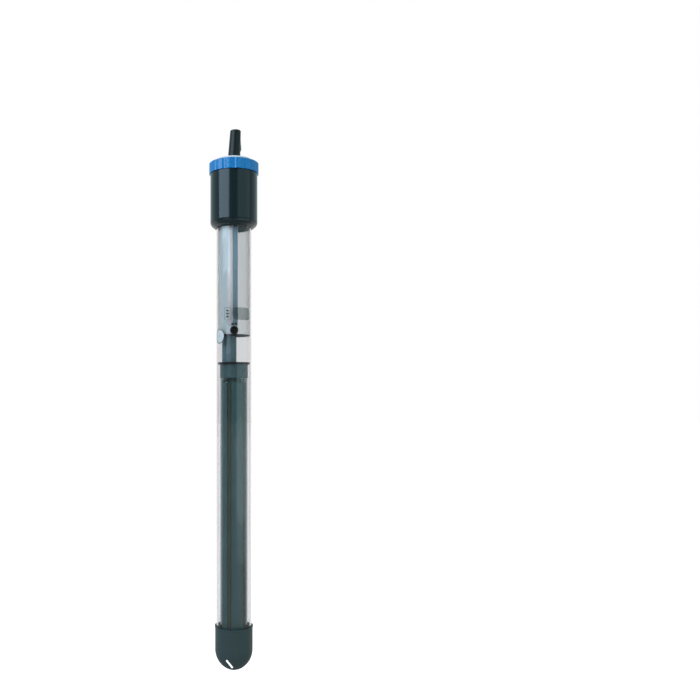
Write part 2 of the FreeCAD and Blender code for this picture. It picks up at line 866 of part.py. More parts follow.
def spindle_pinion():
    wheel = gear_prism(pinion_teeth, tooth_addendum, tooth_dedendum, tooth_backlash, gear_low, gear_high)
    wheel.rotate(Vector(0, 0, 0), Vector(0, 0, 1), 180)
    wheel.translate(Vector(spindle_x, 0, 0))
    return wheel.cut(cylinder(spindle_radius + press_gap, gear_low - 1, gear_high + 1, spindle_x))


def adjust_spindle():
    """The spindle, with a collar that the bung holds down."""
    shaft = cylinder(spindle_radius, spindle_low, gear_high + gear_lift, spindle_x)
    collar_high = bung_low - air_gap
    collar = cylinder(spindle_collar_radius, collar_high - spindle_collar_height, collar_high, spindle_x)
    return shaft.fuse(collar).removeSplitter()


def adjusting_nut():
    """The nut on the spindle, with a nose that reaches through the bracket to the leaf."""
    body = block(spindle_x - spindle_radius - nut_wall, spindle_x + spindle_radius + nut_wall,
                 -nut_half_width, nut_half_width, nut_z, nut_z + nut_height)
    nose_half = nut_half_width - loose_gap
    nose_z = nut_z + nut_height / 2
    nose = block(spindle_x + spindle_radius, leaf_x - air_gap, -nose_half, nose_half,
                 nose_z - nut_height / 4, nose_z + nut_height / 4)
    nut = body.fuse(nose).removeSplitter()
    return nut.cut(cylinder(spindle_radius + slip_gap, nut_z - 1, nut_z + nut_height + 1, spindle_x))


def scale_plate():
    plate = cylinder(plate_radius, neck_top, plate_top)
    rim = [edge for edge in plate.Edges if edge.Closed and abs(edge.BoundBox.ZMin - plate_top) < 1e-3]
    plate = plate.makeFillet(plate_edge, rim)
    cuts = [cylinder(boot_radius + air_gap, neck_top - 1, plate_top + 1)]
    for side in (-1, 1):
        cuts.append(cylinder(screw_radius + slip_gap, neck_top - 1, plate_top + 1, 0, side * screw_y))
        cuts.append(cylinder(screw_head_radius + slip_gap, plate_top - screw_head_height - slip_gap,
                             plate_top + 1, 0, side * screw_y))
    return plate.cut(Part.makeCompound(cuts))


def plate_screws():
    screws = []
    half = screw_slot_width / 2
    for side in (-1, 1):
        y = side * screw_y
        seat = plate_top - screw_head_height
        shank = cylinder(screw_radius, neck_top - screw_length + loose_gap, seat, 0, y)
        head = cylinder(screw_head_radius, seat, plate_top, 0, y)
        reach = screw_slot_reach
        deep = plate_top - screw_head_height / 2
        cross = block(-reach, reach, y - half, y + half, deep, plate_top + 1).fuse(
            block(-half, half, y - reach, y + reach, deep, plate_top + 1))
        screws.append(shank.fuse(head).removeSplitter().cut(cross))
    return Part.makeCompound(screws)


def strain_relief_boot():
    """A moulded elbow: a leaning tapered post with a flat top, and a grooved sleeve towards the back."""
    foot = Part.Circle(Vector(0, 0, plate_top), Vector(0, 0, 1), boot_radius)
    top_z = plate_top + boot_height
    top = Part.Circle(Vector(boot_top_x, 0, top_z), Vector(0, 0, 1), boot_top_radius)
    post = Part.makeLoft([Part.Wire(foot.toShape()), Part.Wire(top.toShape())], True, True)
    rim = [edge for edge in post.Edges if edge.Closed and abs(edge.BoundBox.ZMin - top_z) < 1e-3]
    post = post.makeFillet(boot_top_edge, rim)
    sleeve = Part.makeCone(boot_sleeve_radius, boot_end_radius, boot_reach, boot_corner, boot_direction)
    for index in range(boot_groove_count):
        far = boot_reach - (index + 1) * boot_groove_step
        share = far / boot_reach
        floor_radius = boot_sleeve_radius + (boot_end_radius - boot_sleeve_radius) * share - boot_groove_depth
        place = boot_corner + boot_direction * far
        groove = Part.makeCylinder(boot_radius, boot_groove_width, place, boot_direction)
        keep = Part.makeCylinder(floor_radius, boot_groove_width, place, boot_direction)
        sleeve = sleeve.cut(groove.cut(keep))
    flange_low = neck_top - boot_flange_height - slip_gap
    root = cylinder(boot_radius, flange_low, plate_top).fuse(
        cylinder(boot_flange_radius, flange_low, neck_top - slip_gap)).removeSplitter()
    bore = Part.makeCylinder(cord_radius + slip_gap, boot_bore_depth + 1,
                             boot_end - boot_direction * boot_bore_depth, boot_direction)
    return post.fuse([sleeve, root]).cut(bore)


def power_cord():
    edges, radii = rounded_edges(cord_route)
    print("cord bends, in diameters:", [round(radius / (2 * cord_radius), 1) for radius in radii])
    lead = tube(edges, cord_radius)
    length = sum(edge.Length for edge in edges)
    section = math.pi * cord_radius ** 2
    print("cord length", round(length, 1), "volume ratio", round(lead.Volume / (section * length), 4))
    return lead


def swing(start, end):
    """Two equal arcs from one upright heading to the same heading, side-stepped."""
    middle = (start + end) / 2
    half = middle - start
    along = Vector(0, 0, half.z)
    aside = half - along
    if aside.Length < 1e-9:
        return [line(start, end)]
    radius = half.Length ** 2 / (2 * aside.Length)
    turn = 2 * math.atan2(aside.Length, abs(half.z))
    rise = radius * math.sin(turn / 2) * (1 if half.z > 0 else -1)
    shift = radius * (1 - math.cos(turn / 2))
    outward = Vector(aside.x, aside.y, aside.z).normalize()
    first = start + Vector(0, 0, rise) + outward * shift
    second = end - Vector(0, 0, rise) - outward * shift
    return [arc(start, first, middle), arc(middle, second, end)]


def hank_levels():
    """Each run's distance from the hank's middle: the loops spiral in, and then out again."""
    half = hank_half_loops // 2
    return [hank_outer_run - hank_step / 2 * min(index, 2 * half - index)
            for index in range(hank_half_loops + 1)]


def hank_edges():
    """Runs drawn in at the waist, joined by half turns; the middle run climbs a layer."""
    edges = []
    levels = hank_levels()
    climb = hank_half_loops // 2
    half_straight = hank_waist_straight / 2
    middle_z = (hank_low + hank_high) / 2
    for index, level in enumerate(levels):
        side = 1 if index % 2 == 0 else -1
        down = index % 2 == 0
        x_start = hank_x + hank_layer_step * (0.5 if index > climb else -0.5)
        x_end = hank_x + hank_layer_step * (0.5 if index >= climb else -0.5)
        x_middle = (x_start + x_end) / 2
        run_y = hank_y + side * level
        waist_y = hank_y + side * (level - hank_waist_in)
        z_start, z_end = (hank_high, hank_low) if down else (hank_low, hank_high)
        step = -half_straight if down else half_straight
        waist_start = Vector(x_middle, waist_y, middle_z - step)
        waist_end = Vector(x_middle, waist_y, middle_z + step)
        end = Vector(x_end, run_y, z_end)
        edges += swing(Vector(x_start, run_y, z_start), waist_start)
        edges.append(line(waist_start, waist_end))
        edges += swing(waist_end, end)
        if index < hank_half_loops:
            next_y = hank_y - side * levels[index + 1]
            bow = abs(next_y - run_y) / 2 * (-1 if down else 1)
            crest = Vector(x_end, (run_y + next_y) / 2, z_end + bow)
            edges.append(arc(end, crest, Vector(x_end, next_y, z_end)))
    return edges


def least_gap(edges, radius, step=2.0):
    """The least gap of a tube to itself, measured between points along its line."""
    points = []
    travelled = 0.0
    for edge in edges:
        count = max(2, int(edge.Length / step))
        for index, point in enumerate(edge.discretize(count)):
            points.append((travelled + edge.Length * index / (count - 1), point))
        travelled += edge.Length
    least = 1e9
    for index, (place, point) in enumerate(points):
        for other_place, other in points[index + 1:]:
            if other_place - place > 12 * radius:
                least = min(least, point.distanceToPoint(other))
    return least - 2 * radius


def cord_hank():
    edges = hank_edges()
    hank = tube(edges, cord_radius)
    length = sum(edge.Length for edge in edges)
    section = math.pi * cord_radius ** 2
    print("hank length", round(length, 1), "volume ratio", round(hank.Volume / (section * length), 4))
    print("hank least gap", round(least_gap(edges, cord_radius), 2))
    return hank


def cord_tail():
    return cylinder(cord_radius, plug_top, hank_low, tail_x, back_run_y)


def cord_tie():
    """A flat tie round the hank's waist."""
    levels = hank_levels()
    reach_x = hank_layer_step / 2 + cord_radius + loose_gap
    y_high = hank_y + levels[0] - hank_waist_in + cord_radius + loose_gap
    y_low = hank_y - levels[1] + hank_waist_in - cord_radius - loose_gap
    middle_z = (hank_low + hank_high) / 2
    z_low = middle_z - tie_height / 2
    z_high = middle_z + tie_height / 2
    inner = block(hank_x - reach_x, hank_x + reach_x, y_low, y_high, z_low, z_high)
    outer = block(hank_x - reach_x - tie_wall, hank_x + reach_x + tie_wall, y_low - tie_wall,
                  y_high + tie_wall, z_low, z_high)
    upright = [edge for edge in inner.Edges if edge.BoundBox.ZLength > tie_height / 2]
    inner = inner.makeFillet(cord_radius, upright)
    upright = [edge for edge in outer.Edges if edge.BoundBox.ZLength > tie_height / 2]
    outer = outer.makeFillet(cord_radius + tie_wall, upright)
    return outer.cut(inner)


def plug_body():
    """A slim two-pin plug: a flat moulded body under a round tapered relief."""
    relief_low = plug_top - plug_relief_length
    x_low = tail_x - plug_half_thickness
    y = back_run_y
    neck = plug_relief_radius
    corners = [
        Vector(x_low, y - neck, relief_low + plug_collar),
        Vector(x_low, y + neck, relief_low + plug_collar),
        Vector(x_low, y + plug_half_width, relief_low - plug_shoulder),
        Vector(x_low, y + plug_half_width, plug_face + plug_shoulder),
        Vector(x_low, y + plug_half_width - plug_corner, plug_face),
        Vector(x_low, y - plug_half_width + plug_corner, plug_face),
        Vector(x_low, y - plug_half_width, plug_face + plug_shoulder),
        Vector(x_low, y - plug_half_width, relief_low - plug_shoulder),
    ]
    edges = [line(a, b) for a, b in zip(corners, corners[1:] + corners[:1])]
    body = Part.Face(Part.Wire(edges)).extrude(Vector(2 * plug_half_thickness, 0, 0))
    sides = [edge for edge in body.Edges if edge.BoundBox.XLength < 1e-6]
    body = body.makeFillet(plug_edge, sides)
    cone = Part.makeCone(plug_relief_radius, cord_radius + plug_tip_wall, plug_relief_length,
                         Vector(tail_x, y, relief_low))
    body = body.fuse(cone)
    for side in (-1, 1):
        pin_y = y + side * pin_spacing / 2
        body = body.cut(cylinder(pin_core_radius + slip_gap, plug_face - 1, plug_face + pin_root, tail_x,
                                 pin_y))
    return body


def plug_pins():
    pins = []
    for side in (-1, 1):
        y = back_run_y + side * pin_spacing / 2
        core = cylinder(pin_core_radius, plug_face - pin_sleeve_length, plug_face + pin_root - slip_gap,
                        tail_x, y)
        tip = cylinder(pin_radius, plug_face - pin_length, plug_face - pin_sleeve_length, tail_x, y)
        low = [edge for edge in tip.Edges if edge.Closed
               and abs(edge.BoundBox.ZMin - (plug_face - pin_length)) < 1e-3]
        pins.append(core.fuse(tip.makeFillet(pin_tip_edge, low)).removeSplitter())
    return Part.makeCompound(pins)


def pin_sleeves():
    sleeves = []
    for side in (-1, 1):
        y = back_run_y + side * pin_spacing / 2
        sleeves.append(ring(pin_radius - slip_gap, pin_core_radius + slip_gap,
                            plug_face - pin_sleeve_length, plug_face, tail_x, y))
    return Part.makeCompound(sleeves)


def all_pieces():
    return {
        "foot_cap": foot_cap(),
        "glass_tube": glass_tube(),
        "bottom_spacer": bottom_spacer(),
        "element_tube": element_tube(),
        "ceramic_core": ceramic_core(),
        "heating_coil": heating_coil(),
        "element_collar": element_collar(),
        "lower_disc": disc(collar_top, lower_disc_thickness),
        "terminal_post": terminal_post(),
        "upper_disc": disc(upper_disc_bottom, upper_disc_thickness),
        "thermostat_carrier": thermostat_carrier(),
        "insulating_sleeve": insulating_sleeve(),
        "mounting_bracket": mounting_bracket(),
        "rear_insulator": stack_plate(rear_insulator_x, rear_insulator_thickness, bracket_half_width,
                                      stack_height),
        "contact_leaf": contact_leaf(),
        "fixed_contact": fixed_contact(),
        "front_insulator": stack_plate(front_insulator_x, front_insulator_thickness,
                                       bracket_half_width, stack_height),
        "blade_fork": blade_fork(),
        "blade_pin": blade_pin(),
        "bimetal_blade": bimetal_blade(),
        "moving_contact": moving_contact(),
        "blade_armature": blade_armature(),
        "snap_magnet": snap_magnet(),
        "stack_rivets": stack_rivets(),
        "indicator_lens": indicator_lens(),
        "indicator_lamp": indicator_lamp(),
        "lamp_resistor": lamp_resistor(),
        "thermal_fuse": thermal_fuse(),
        "neutral_lead": mains_lead(1, collar_top - lead_seat_depth),
        "live_lead": mains_lead(-1, stack_low + stack_height + live_lead_rise),
        "switched_lead": switched_lead(),
        "tube_bung": tube_bung(),
        "head_seal_sleeve": head_seal_sleeve(),
        "potting": potting(),
        "spindle_bush": spindle_bush(),
        "spindle_oring": spindle_oring(),
        "head_shell": head_shell(),
        "dial_ring": dial_ring(),
        "dial_pointer": dial_pointer(),
        "spindle_pinion": spindle_pinion(),
        "adjust_spindle": adjust_spindle(),
        "adjusting_nut": adjusting_nut(),
        "scale_plate": scale_plate(),
        "plate_screws": plate_screws(),
        "strain_relief_boot": strain_relief_boot(),
        "power_cord": power_cord(),
        "cord_hank": cord_hank(),
        "cord_tie": cord_tie(),
        "cord_tail": cord_tail(),
        "plug_body": plug_body(),
        "plug_pins": plug_pins(),
        "pin_sleeves": pin_sleeves(),
    }


def write_pieces():
    os.makedirs("parts", exist_ok=True)
    print("middle of the head's straight part", round(seat_middle, 3))
    for name, shape in all_pieces().items():
        placed = shape.translated(Vector(0, 0, -seat_middle))
        if not placed.isValid() or not placed.Solids:
            print("check", name, "valid", placed.isValid(), "solids", len(placed.Solids))
        placed.exportStep("parts/" + name + ".step")


write_pieces()
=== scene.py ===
import json
import math

import bmesh
import bpy
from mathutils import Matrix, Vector


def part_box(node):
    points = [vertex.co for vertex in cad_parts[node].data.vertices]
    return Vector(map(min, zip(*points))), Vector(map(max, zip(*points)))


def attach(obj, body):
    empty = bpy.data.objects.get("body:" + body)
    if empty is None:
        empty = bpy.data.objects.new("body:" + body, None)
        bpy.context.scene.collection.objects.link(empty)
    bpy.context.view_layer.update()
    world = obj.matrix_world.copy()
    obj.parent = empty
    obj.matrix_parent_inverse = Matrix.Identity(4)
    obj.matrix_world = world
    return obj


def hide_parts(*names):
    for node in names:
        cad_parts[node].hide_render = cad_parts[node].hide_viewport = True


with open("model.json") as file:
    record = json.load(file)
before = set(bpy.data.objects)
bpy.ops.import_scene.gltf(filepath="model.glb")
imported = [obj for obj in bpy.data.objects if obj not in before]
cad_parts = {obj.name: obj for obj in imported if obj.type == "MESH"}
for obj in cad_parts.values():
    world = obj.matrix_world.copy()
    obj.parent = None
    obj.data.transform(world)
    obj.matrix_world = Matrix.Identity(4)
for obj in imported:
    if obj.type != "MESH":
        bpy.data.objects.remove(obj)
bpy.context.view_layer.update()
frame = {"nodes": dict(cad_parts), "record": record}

# A slim glass submersible aquarium heater, in metres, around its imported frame.
# +Z runs up the tube's axis, the front faces -Y, and the origin is in the middle of the head's straight part.
MM = 0.001

# Camera, from the photograph's 700 pixel frame
FRAME_PIXELS = 700
FOCAL_PIXELS = 770
AXIS_PIXEL_X = 233.9
EYE_PIXEL_Y = 390.0
EYE_ABOVE_FOOT = 186.2 * MM
CAMERA_DISTANCE = 0.513
SENSOR = 36.0
CLIP_START = 0.01
CLIP_END = 20.0

# How bright the surroundings are to a reflection, from the dim studio in front to the white backdrop behind,
# and how bright they are to soft light. Each end is the Y of a ray of length 1: -1 looks to the front.
STUDIO_LEVEL = 0.1
STUDIO_END = -0.5
BACKDROP_LEVEL = 1.0
BACKDROP_START = 0.8
SOFT_LEVEL = 0.4
SHEEN_TINT = "#cbe4ea"

# The paper floor: its own glow to the eye, and how bright a reflection sees it in front, beside and behind.
# Each start and end is a distance in metres, behind the axis or to its right.
FLOOR_HALF_SIZE = 6.0
FLOOR_DROP = 0.10
FLOOR_GLOW = 0.75
FLOOR_FRONT_LEVEL = 0.25
FLOOR_SIDE_LEVEL = 0.38
FLOOR_SIDE_START = 0.2
FLOOR_SIDE_END = 0.42
FLOOR_BACK_LEVEL = 0.9
FLOOR_BACK_START = 0.0
FLOOR_BACK_END = 0.3

# How far the film's frosted half fades into its clear half, and how widely it scatters light
FROST_EDGE = 0.5 * MM
FROST_ROUGHNESS = 0.45
FROST_IOR = 1.3

# Places read from the frame
foot_low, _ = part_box("foot_cap")
_, glass_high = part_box("glass_tube")
_, plate_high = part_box("scale_plate")
carrier_low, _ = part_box("thermostat_carrier")
_, film_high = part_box("insulating_sleeve")
coil_low, coil_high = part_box("heating_coil")
EYE_HEIGHT = foot_low.z + EYE_ABOVE_FOOT
GLASS_RADIUS = glass_high.x
CARRIER_RADIUS = -carrier_low.x


def linear(code):
    """An sRGB hex colour as linear red, green, blue and a full alpha."""
    channels = [int(code[i:i + 2], 16) / 255 for i in (1, 3, 5)]
    return [c / 12.92 if c <= 0.04045 else ((c + 0.055) / 1.055) ** 2.4 for c in channels] + [1.0]


def add(tree, kind, sockets=None, links=None, **properties):
    """Adds a node with its properties, its socket values, and its links from (node, output) pairs."""
    node = tree.nodes.new(kind)
    for name, value in properties.items():
        setattr(node, name, value)
    for name, value in (sockets or {}).items():
        node.inputs[name].default_value = value
    for name, (source, output) in (links or {}).items():
        tree.links.new(source.outputs[output], node.inputs[name])
    return node


def new_material(name, colour, roughness, metallic=0.0, ior=1.5, **sockets):
    """A material with its shader's own sockets set; further sockets are named with _ for each space."""
    material = bpy.data.materials.new(name)
    material.use_nodes = True
    tree = material.node_tree
    shader = tree.nodes["Principled BSDF"]
    shader.inputs["Base Color"].default_value = linear(colour)
    shader.inputs["Roughness"].default_value = roughness
    shader.inputs["Metallic"].default_value = metallic
    shader.inputs["IOR"].default_value = ior
    for socket, value in sockets.items():
        shader.inputs[socket.replace("_", " ")].default_value = value
    return material, tree, shader


def ramp(tree, space, axis, start, end, low, high):
    """A value that goes from low to high between two places on an axis of a coordinate space."""
    place = add(tree, "ShaderNodeTexCoord")
    axes = add(tree, "ShaderNodeSeparateXYZ", None, {0: (place, space)})
    return add(tree, "ShaderNodeMapRange",
               {"From Min": start, "From Max": end, "To Min": low, "To Max": high},
               {"Value": (axes, axis)})


def straight_view(tree, path):
    """1 for a ray from the eye, or one that came through glass, and 0 for others."""
    return add(tree, "ShaderNodeMath", None,
               {0: (path, "Is Camera Ray"), 1: (path, "Is Transmission Ray")}, operation="MAXIMUM")


def mirrored_view(tree, path):
    """1 for a mirrored ray; one that glass has bent counts as glossy too, so it is taken off."""
    return add(tree, "ShaderNodeMath", None,
               {0: (path, "Is Glossy Ray"), 1: (path, "Is Transmission Ray")}, operation="SUBTRACT")


def grain(tree, shader, size, depth, detail=2.0):
    """Fine moulded or cast texture as bump: size and depth in metres."""
    place = add(tree, "ShaderNodeTexCoord")
    noise = add(tree, "ShaderNodeTexNoise", {"Scale": 1 / size, "Detail": detail},
                {"Vector": (place, "Object")})
    bump = add(tree, "ShaderNodeBump", {"Strength": 1.0, "Distance": depth}, {"Height": (noise, 0)})
    tree.links.new(bump.outputs[0], shader.inputs["Normal"])
    return noise


def mottle(tree, shader, noise, dark, light, low=0.35, high=0.65):
    """Colour that drifts between two hex values with a noise."""
    drift = add(tree, "ShaderNodeValToRGB", None, {"Fac": (noise, 0)})
    drift.color_ramp.elements[0].position = low
    drift.color_ramp.elements[0].color = linear(dark)
    drift.color_ramp.elements[1].position = high
    drift.color_ramp.elements[1].color = linear(light)
    tree.links.new(drift.outputs[0], shader.inputs["Base Color"])


def moulded(name, dark, light, roughness, size=0.4, depth=0.004, **sockets):
    """A moulded, pressed or fired surface: grain in millimetres, and colour that drifts slightly."""
    material, tree, shader = new_material(name, dark, roughness, **sockets)
    noise = grain(tree, shader, size * MM, depth * MM)
    mottle(tree, shader, noise, dark, light)
    return material


def metal(name, colour, roughness, size=0.25, depth=0.002):
    """A bare metal with fine rolling or turning marks, in millimetres."""
    material, tree, shader = new_material(name, colour, roughness, metallic=1.0)
    grain(tree, shader, size * MM, depth * MM)
    return material


def clear_glass(name, colour, ior=1.47):
    """Drawn glass: smooth, slightly grey, and open to lamps, soft light and reflections."""
    material, tree, shader = new_material(name, colour, 0.0, ior=ior, Transmission_Weight=1.0)
    path = add(tree, "ShaderNodeLightPath")
    soft = add(tree, "ShaderNodeMath", None,
               {0: (path, "Is Shadow Ray"), 1: (path, "Is Diffuse Ray")}, operation="MAXIMUM")
    # A ray bent by the first face isn't let through here, since the second face must bend it back.
    mirrored = mirrored_view(tree, path)
    either = add(tree, "ShaderNodeMath", None, {0: (soft, 0), 1: (mirrored, 0)}, operation="MAXIMUM")
    # A ray meets two faces of each wall, so each takes the root of the colour.
    tint = tuple(channel ** 0.5 for channel in linear(colour))
    open_way = add(tree, "ShaderNodeBsdfTransparent", {"Color": tint})
    mix = add(tree, "ShaderNodeMixShader", None,
              {0: (either, 0), 1: (shader, 0), 2: (open_way, 0)})
    tree.links.new(mix.outputs[0], tree.nodes["Material Output"].inputs["Surface"])
    return material


def half_frosted_film(name, colour, clear, frosted):
    """Rolled polyester film, clear where it faces the front and etched matt on the half behind."""
    material, tree, shader = new_material(name, colour, FROST_ROUGHNESS, ior=FROST_IOR,
                                          Transmission_Weight=1.0)
    cover = ramp(tree, "Object", "Y", -FROST_EDGE, FROST_EDGE, clear, frosted)
    tree.links.new(cover.outputs[0], shader.inputs["Alpha"])
    return material


# Every material by the record's slot. The colours are the real pieces' own, seen in plain light.
# Grain sizes and depths are in millimetres; the default is the fine spark-eroded grain of a moulding tool,
# drawn at 0.4 mm because the real 0.1 mm would not show at this size.
MATERIALS = {
    # Drawn borosilicate tube, fire-polished: nearly colourless, with bright edges and clean reflections
    "borosilicate_glass": clear_glass("drawn_borosilicate_glass", "#ebebec"),
    # Drawn tube of smoked glass: it turns the pale core behind it to a dark blue-green
    "quartz_glass": clear_glass("drawn_smoked_glass", "#9ab3b3"),
    # Moulded silicone: dark and satin, with a soft wide highlight
    "silicone_rubber": moulded("spacer_moulded_silicone", "#2a3538", "#303c40", 0.5),
    # Moulded rubber with a stippled skin: dull slate green, no clear highlight
    "foot_rubber": moulded("foot_moulded_rubber", "#2d4142", "#354a4b", 0.55, size=0.5, depth=0.02),
    # Polished injection-moulded ABS: nearly black, and it mirrors the soft boxes as long bands
    "head_plastic": moulded("head_moulded_abs", "#122326", "#17292c", 0.16),
    # Moulded soft PVC: black and satin, so the bands blur
    "boot_rubber": moulded("boot_moulded_pvc", "#101a1a", "#172222", 0.35, depth=0.01,
                           Specular_IOR_Level=0.4),
    # Injection-moulded blue ABS: glossy, with a bright line down each flute
    "blue_plastic": moulded("dial_moulded_abs", "#0877ba", "#0c82c6", 0.16),
    # Injection-moulded white ABS: an even pale satin that carries the printed numbers
    "white_plastic": moulded("plate_moulded_abs", "#e9ecef", "#f1f3f5", 0.35),
    # Extruded and fired steatite: pale, matt and very finely granular
    "steatite_ceramic": moulded("core_fired_steatite", "#bec8c8", "#cad2d2", 0.5, size=0.6, depth=0.01),
    # Fired ceramic stained slate: an even dull band
    "collar_ceramic": moulded("collar_fired_ceramic", "#3f5c5e", "#456467", 0.4),
    # Glazed ceramic: slate blue with one clear narrow highlight down it
    "post_ceramic": moulded("post_glazed_ceramic", "#4e747a", "#547b82", 0.35, Specular_IOR_Level=1.0),
    # Wound resistance wire with its baked oxide skin: a dull warm buff, not bright metal
    "resistance_wire": moulded("coil_oxidised_wire", "#fcccb2", "#ffd6be", 0.6, size=0.3),
    # Pressed vulcanised fibre: flat black with a faint fibrous grain
    "black_fibre": moulded("disc_pressed_fibre", "#07161a", "#0b1c20", 0.85),
    # Injection-moulded pale plastic: smooth, cool and slightly glossy
    "carrier_plastic": moulded("carrier_moulded_plastic", "#cedad8", "#d6e1df", 0.15),
    # Rolled polyester film: clear in front, and etched matt behind, so what is past it blurs to pale grey
    "clear_film": half_frosted_film("film_frosted_polyester", "#f8fafc", 0.01, 0.62),
    # Cold-rolled spring steel: grey metal with a soft rolled shine
    "spring_steel": metal("bracket_rolled_steel", "#a9abad", 0.35),
    # Pressed phenolic: dark brown and satin
    "phenolic": moulded("insulator_pressed_phenolic", "#4a2c1c", "#5c3824", 0.5),
    # Rolled phosphor bronze: warm orange metal
    "phosphor_bronze": metal("leaf_rolled_bronze", "#c08a52", 0.3),
    # Coined silver: pale bright metal
    "silver_contact": metal("contact_coined_silver", "#dcdcda", 0.2),
    # Turned brass: yellow metal with fine tool marks
    "brass": metal("turned_brass", "#c9a552", 0.28),
    # Sintered ferrite: dark grey and slightly rough
    "ferrite_magnet": moulded("magnet_sintered_ferrite", "#1d1e20", "#242527", 0.6),
    # Dyed acrylic lens, unlit: almost black
    "dark_lens": moulded("lens_dyed_acrylic", "#04090a", "#070c0d", 0.3, Specular_IOR_Level=0.25),
    # Small blown gas lamp, unlit: amber and glossy
    "lamp_glass": moulded("lamp_blown_glass", "#d98250", "#e49564", 0.15),
    # Dipped lacquer: tan and satin
    "resistor_coat": moulded("resistor_dipped_lacquer", "#b89a68", "#c4a676", 0.5),
    # Drawn tinned case: light grey metal
    "fuse_case": metal("fuse_drawn_case", "#c2c3c5", 0.3),
    # Extruded PVC insulation: coloured, even and satin
    "blue_insulation": moulded("lead_blue_pvc", "#2650a0", "#2b58ac", 0.4),
    "brown_insulation": moulded("lead_brown_pvc", "#53301c", "#5f3822", 0.4),
    # Moulded seal rubber: matt black
    "black_rubber": moulded("seal_moulded_rubber", "#0e1011", "#131617", 0.6),
    # Cast epoxy: black, smooth and glossy
    "potting_resin": moulded("potting_cast_epoxy", "#131416", "#17181b", 0.2),
    # Cold-headed stainless steel: clean grey metal
    "stainless_steel": metal("screw_stainless_steel", "#b9babc", 0.3),
    # Extruded rubber sheath: black, satin, with a slightly uneven skin
    "cord_rubber": moulded("cord_extruded_rubber", "#101314", "#161a1b", 0.5, size=0.8, depth=0.01),
    # Moulded band: matt black
    "tie_rubber": moulded("tie_moulded_rubber", "#121414", "#181b1b", 0.6),
    # Moulded soft PVC with a stippled skin: black and satin
    "plug_plastic": moulded("plug_moulded_pvc", "#121416", "#181b1d", 0.45, size=0.5, depth=0.015),
    # Nickel-plated brass pins: warm bright metal
    "pin_metal": metal("pin_nickel_plate", "#cfcbc2", 0.2),
    # Moulded sleeves of hard plastic: dark grey and satin
    "sleeve_plastic": moulded("sleeve_moulded_plastic", "#17191b", "#1c1f21", 0.5),
    # Moulded natural nylon: ivory and waxy
    "nylon": moulded("gear_moulded_nylon", "#dedbd0", "#e8e5da", 0.45),
    # Rolled bimetal strip: dull warm grey metal
    "bimetal": metal("blade_rolled_bimetal", "#9c9284", 0.35),
}


def dress_cad_nodes():
    """Gives every solid the material of its slot in the record."""
    for entry in frame["record"]["subparts"]:
        node = frame["nodes"][entry["node"]]
        node.data.materials.clear()
        node.data.materials.append(MATERIALS[entry["material_slot"]])


def put(name, data):
    """An object of this data, linked to the scene."""
    piece = bpy.data.objects.new(name, data)
    bpy.context.scene.collection.objects.link(piece)
    return piece


def set_camera():
    data = bpy.data.cameras.new("camera")
    data.sensor_width = SENSOR
    data.lens = FOCAL_PIXELS / FRAME_PIXELS * SENSOR
    data.shift_x = (FRAME_PIXELS / 2 - AXIS_PIXEL_X) / FRAME_PIXELS
    data.shift_y = (EYE_PIXEL_Y - FRAME_PIXELS / 2) / FRAME_PIXELS
    data.clip_start = CLIP_START
    data.clip_end = CLIP_END
    camera = put("camera", data)
    camera.location = (0, -CAMERA_DISTANCE, EYE_HEIGHT)
    camera.rotation_euler = (math.radians(90), 0, 0)
    bpy.context.scene.camera = camera


def area_lamp(name, azimuth, height, distance, width, tall, power, colour="#ffffff"):
    """A soft box that faces the tube: azimuth runs from front to left, and height is above the eye."""
    data = bpy.data.lights.new(name, "AREA")
    data.shape = "RECTANGLE"
    data.size = width
    data.size_y = tall
    data.energy = power
    data.color = linear(colour)[:3]
    lamp = put(name, data)
    angle = math.radians(azimuth)
    lamp.location = (-distance * math.sin(angle), -distance * math.cos(angle), EYE_HEIGHT + height)
    aim = Vector((0, 0, EYE_HEIGHT)) - lamp.location
    lamp.rotation_euler = aim.to_track_quat("-Z", "Y").to_euler()


def set_lights():
    # The main soft box, at the photograph's left and well above the eye
    area_lamp("key_left", azimuth=50, height=0.5, distance=0.9, width=0.94, tall=0.6, power=6.2,
              colour="#cae4fb")
    # A small dim box nearer to the front
    area_lamp("strip_left", azimuth=33, height=0.136, distance=0.9, width=0.38, tall=0.17, power=0.22,
              colour="#e4eeff")
    # A wide box at the right, half as strong
    area_lamp("fill_right", azimuth=-50, height=0.1, distance=1.1, width=1.35, tall=1.1, power=3.1,
              colour="#cdf0f5")
    # A box above, for the faces that look up
    area_lamp("top_soft", azimuth=20, height=1.0, distance=0.5, width=0.8, tall=0.8, power=1.2)


